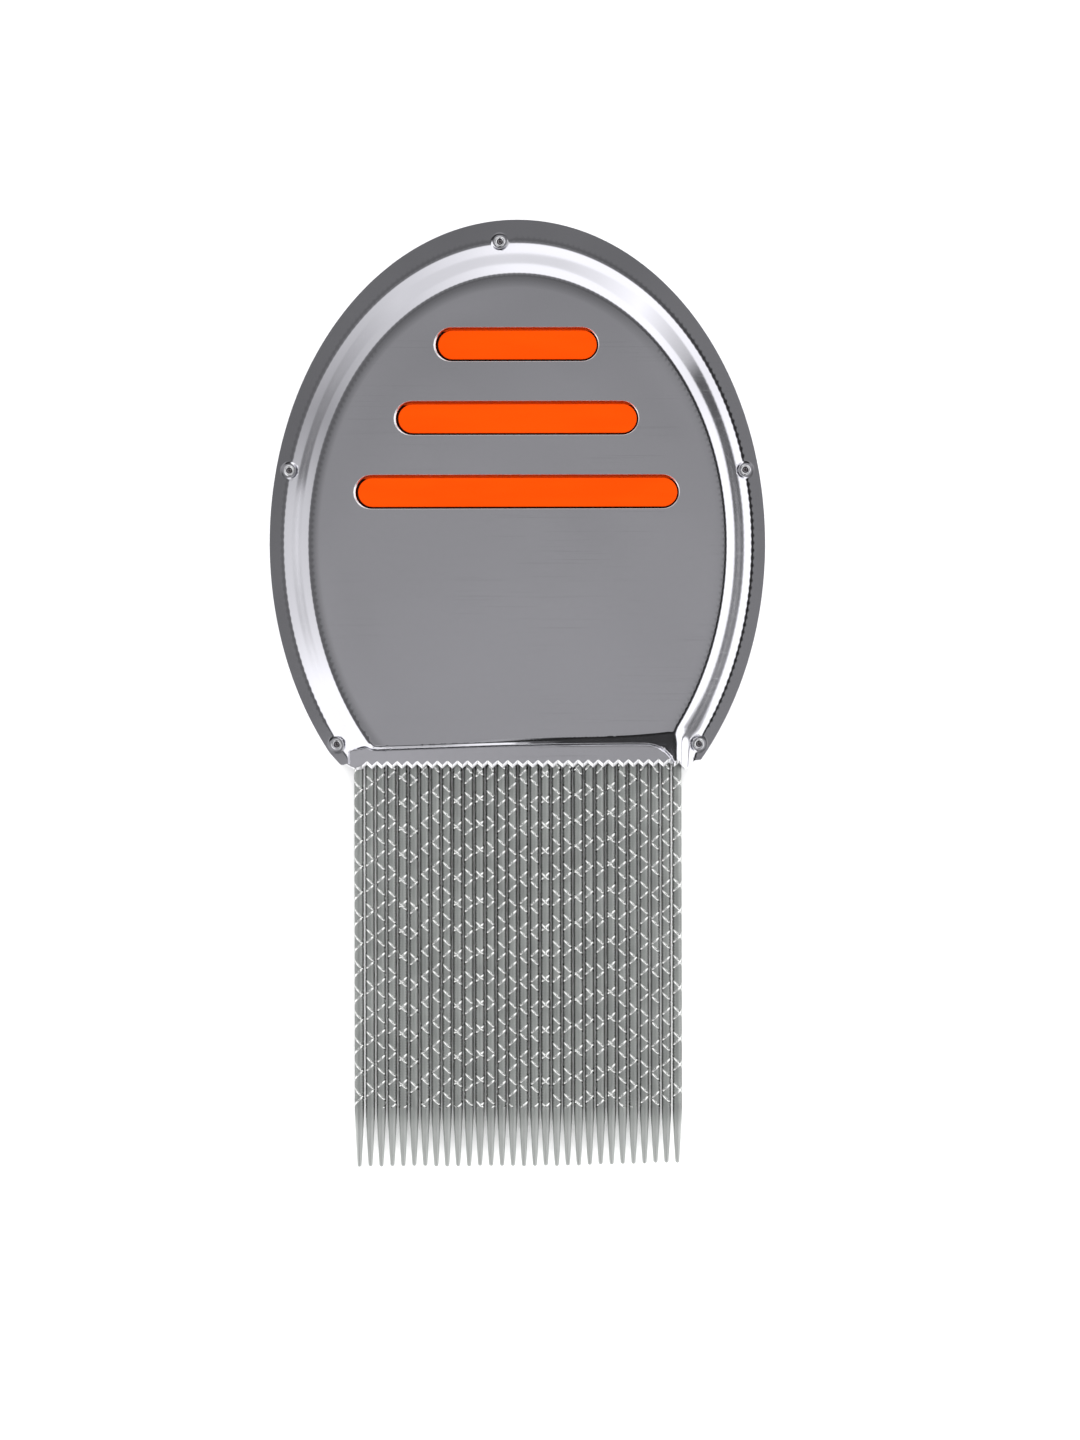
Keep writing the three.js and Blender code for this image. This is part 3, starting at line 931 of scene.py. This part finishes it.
def eyelet_steel():
    made, n, shader, where = material("rolled_eyelet_steel")
    cloud = n.noise(where, 900.0, 3.0)
    grain = n.noise(where, 6000.0, 2.0)
    dimple = n.add("ShaderNodeAttribute", attribute_name="dimple").outputs["Fac"]
    colour = n.mix(n.mapped(cloud, 0.35, 0.65), (0.62, 0.62, 0.65, 1), (0.80, 0.80, 0.82, 1))
    # The bore and dimples are painted dark, a painted shade for the shadow in the hole.
    n.put(shader.inputs["Base Color"], n.mix(dimple, colour, (0.16, 0.15, 0.16, 1)))
    n.put(shader.inputs["Roughness"], n.mapped(grain, 0.3, 0.7, 0.07, 0.15, "LINEAR"))
    shader.inputs["Metallic"].default_value = 1.0
    bump(n, shader, cloud, 0.25, 0.00004)
    return made


def orange_plastic():
    made, n, shader, where = material("moulded_orange_plastic")
    flow = n.noise(n.mapping(where, (0, 0, 0), (90.0, 420.0, 90.0)), 1.0, 2.0)
    grain = n.noise(where, 5200.0, 3.0)
    parts = n.add("ShaderNodeSeparateXYZ")
    n.link(where, parts.inputs[0])
    height = n.math("ABSOLUTE", n.math("SUBTRACT", parts.outputs[2], SEAM_Z * MM))
    # Painted shade: below the bar faces the insert is painted near-black, for the shadow in the gaps round
    # the bars and on the core beneath them; in the gap above each bar the orange is kept.
    gap_shade = n.mapped(height, (PANEL - 0.34) * MM, (PANEL - 0.23) * MM, 1.0, 0.0)
    for cy, _ in SLOTS:
        gap_y = cy + (SLOT_HEIGHT + BAR_HEIGHT) / 4
        above = n.math("ABSOLUTE", n.math("SUBTRACT", parts.outputs[1], gap_y * MM))
        gap_shade = n.math("MULTIPLY", gap_shade, n.mapped(above, 0.13 * MM, 0.24 * MM, 0.05, 1.0))
    colour = n.mix(n.mapped(flow, 0.3, 0.7), (0.62, 0.046, 0.0002, 1), (0.66, 0.051, 0.0003, 1))
    n.put(shader.inputs["Base Color"], n.mix(gap_shade, colour, (0.012, 0.003, 0.002, 1)))
    n.put(shader.inputs["Roughness"], n.mapped(grain, 0.3, 0.7, 0.26, 0.38, "LINEAR"))
    shader.inputs["Specular IOR Level"].default_value = 0.04
    bump(n, shader, grain, 0.12, 0.00002)
    return made


# ---------- Build ----------

steel, wire, ring_steel, orange = shell_steel(), tooth_steel(), eyelet_steel(), orange_plastic()


def settle(piece, node, look):
    piece.data.materials.clear()
    piece.data.materials.append(look)
    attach(piece, "root")
    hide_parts(node)


verts, faces, normals, edge = shell_surface()
front = make_mesh("front_shell_pressing", verts, faces, normals, {"edge": edge})
settle(front, "front_shell", steel)
flip = np.array([1, 1, -1])
turned = [f[::-1] for f in faces]
back = make_mesh("back_shell_pressing", verts * flip, turned, normals * flip, {"edge": edge})
settle(back, "back_shell", steel)

verts, faces = insert_surface()
insert = make_mesh("grip_insert_moulding", verts, faces)
cut_root_slot(insert)
insert.data.polygons.foreach_set("use_smooth", [True] * len(insert.data.polygons))
insert.data.set_sharp_from_angle(angle=math.radians(40))
settle(insert, "grip_insert", orange)

rng = random.Random(31)
for number in range(1, TEETH + 1):
    piece, node = add_tooth(number, rng)
    settle(piece, node, wire)

for node, (ex, ey) in zip(EYELET_NODES, EYELETS):
    verts, faces, dimple = eyelet_surface(rng)
    piece = make_mesh(node + "_ring", verts + [ex, ey, 0], faces, None, {"dimple": dimple})
    settle(piece, node, ring_steel)

# ---------- Floor, light and camera ----------


def floor_material():
    made, n, shader, _ = material("pale_floor")
    n.put(shader.inputs["Base Color"], grey(0.9))
    shader.inputs["Roughness"].default_value = 0.9
    shader.inputs["Specular IOR Level"].default_value = 0.0
    return made


def add_floor():
    mesh = bpy.data.meshes.new("floor")
    half, z = 12.0, -0.00002
    corners = [(-half, -half, z), (half, -half, z), (half, half, z), (-half, half, z)]
    mesh.from_pydata(corners, [], [(0, 1, 2, 3)])
    floor = bpy.data.objects.new("floor", mesh)
    bpy.context.scene.collection.objects.link(floor)
    mesh.materials.append(floor_material())


# Brightness round the studio by azimuth in degrees from +X, near the horizon and half way up.
LOW = [
    (0, 0.17), (7, 0.14), (17, 0.10), (24, 0.09), (31, 0.12), (35, 0.7), (40, 0.9), (46, 1.2), (52, 1.5),
    (64, 1.2), (76, 1.0), (110, 0.98), (128, 0.92), (142, 0.62), (154, 0.35), (163, 0.24), (168, 0.22),
    (170.5, 0.78), (180, 0.82), (190, 0.74), (195, 1.1), (200, 1.5), (262, 1.5), (282, 1.3), (300, 0.5),
    (318, 0.18), (329, 0.15), (335, 0.17), (343, 0.19), (349, 0.19), (360, 0.17),
]
MIDDLE = [
    (0, 1.6), (20, 1.5), (30, 1.3), (52, 1.5), (90, 1.4), (120, 1.0), (142, 0.7), (156, 0.49), (163, 0.6),
    (172, 0.85), (180, 0.88), (190, 1.0), (195, 1.2), (200, 1.5), (245, 1.6), (258, 0.12), (282, 0.12),
    (295, 1.5), (360, 1.6),
]
# The dark band overhead, on its inner side and its outer side.
BAND_IN = [
    (0, 0.015), (40, 0.03), (60, 0.14), (90, 0.15), (180, 0.16), (225, 0.12), (250, 0.03), (270, 0.012),
    (360, 0.015),
]
BAND_OUT = [
    (0, 0.05), (40, 0.08), (60, 0.2), (90, 0.22), (180, 0.2), (225, 0.15), (250, 0.06), (270, 0.045),
    (360, 0.05),
]
# Degrees from straight overhead over which each zone of the studio fades into the next.
OVERHEAD, OVERHEAD_LEVELS = (1.2, 8.6), (0.446, 0.182)
BAND_START, BAND_SPLIT, BAND_END = (9.3, 11.5), (17.0, 22.0), (28.0, 36.0)
HORIZON = (81.0, 85.5)
# Two grey patches beyond the teeth keep the panel from burning out when it is seen from behind.
SIDE_PATCH_AZIMUTH, SIDE_PATCH, SIDE_PATCH_LEVEL = 313, (0.895, 0.93), 0.64
TIP_PATCH, TIP_PATCH_LEVEL = (-0.87, -0.91), 0.55


def add_world():
    world = bpy.data.worlds.new("studio")
    bpy.context.scene.world = world
    world.use_nodes = True
    n = Nodes(world.node_tree)
    where = n.add("ShaderNodeTexCoord").outputs["Generated"]
    parts = n.add("ShaderNodeSeparateXYZ")
    n.link(where, parts.inputs[0])
    x, y, z = parts.outputs
    turn = n.math("FRACT", n.math("ADD", n.math("DIVIDE", n.math("ARCTAN2", y, x), TAU), 1.0))
    low, middle, band_in, band_out = (
        n.ramp(turn, [(a / 360, v) for a, v in table]) for table in (LOW, MIDDLE, BAND_IN, BAND_OUT)
    )
    fall = n.math("MULTIPLY", n.math("ARCCOSINE", z), 180 / math.pi)
    top = n.mapped(fall, *OVERHEAD, *OVERHEAD_LEVELS, "LINEAR")
    top = n.math("ADD", top, n.mapped(x, 0.05, 0.11, 0.0, 0.07))
    # The lip is tilted towards this brighter patch.
    patch = n.math("MULTIPLY", n.mapped(y, -0.055, -0.085), n.mapped(fall, 8.0, 11.0, 1.0, 0.0))
    top = n.blend(patch, top, n.mapped(x, -0.035, 0.02, 0.58, 0.45))
    level = n.mix(n.mapped(fall, *BAND_START), top, band_in)
    level = n.mix(n.mapped(fall, *BAND_SPLIT), level, band_out)
    level = n.mix(n.mapped(fall, *BAND_END), level, middle)
    toward = math.radians(SIDE_PATCH_AZIMUTH)
    along_x, along_y = n.math("MULTIPLY", x, math.cos(toward)), n.math("MULTIPLY", y, math.sin(toward))
    along = n.math("ADD", along_x, along_y)
    level = n.mix(n.mapped(along, *SIDE_PATCH), level, grey(SIDE_PATCH_LEVEL))
    level = n.mix(n.mapped(y, *TIP_PATCH), level, grey(TIP_PATCH_LEVEL))
    # The zone near the horizon reaches higher behind the handle and beyond the tips.
    lift = n.math("ADD", n.mapped(y, 0.3, 0.8, 0.0, 11.0), n.mapped(y, -0.955, -0.975, 0.0, 18.0))
    level = n.mix(n.mapped(n.math("ADD", fall, lift), *HORIZON), level, low)
    seen = n.add("ShaderNodeLightPath").outputs["Is Camera Ray"]
    tint = n.mix(seen, level, grey(1.1))
    shade = n.add("ShaderNodeBackground")
    n.link(tint, shade.inputs[0])
    n.link(shade.outputs[0], n.add("ShaderNodeOutputWorld").inputs[0])


def add_key():
    light = bpy.data.lights.new("overhead_soft_light", "AREA")
    light.shape, light.size, light.size_y, light.energy = "RECTANGLE", 1.2, 1.2, 13.0
    lamp = bpy.data.objects.new("overhead_soft_light", light)
    lamp.location = (0, 0, 0.9)
    lamp.visible_glossy = False
    lamp.visible_camera = False
    bpy.context.scene.collection.objects.link(lamp)


# The camera looks straight down. The photo's frame is this high at the comb.
FRAME_HEIGHT = 152.0
DISTANCE = 620.0
CAMERA_X, CAMERA_Y, CAMERA_ROLL = 2.35, -2.85, -0.1


def add_camera():
    data = bpy.data.cameras.new("camera")
    data.sensor_width = 36.0
    data.lens = data.sensor_width * DISTANCE / FRAME_HEIGHT
    data.clip_start, data.clip_end = 0.01, 50.0
    camera = bpy.data.objects.new("camera", data)
    camera.location = (CAMERA_X * MM, CAMERA_Y * MM, (SEAM_Z + DISTANCE) * MM)
    camera.rotation_euler = (0, 0, math.radians(CAMERA_ROLL))
    bpy.context.scene.collection.objects.link(camera)
    bpy.context.scene.camera = camera


add_floor()
add_world()
add_key()
add_camera()
bpy.context.scene.view_settings.view_transform = "Standard"
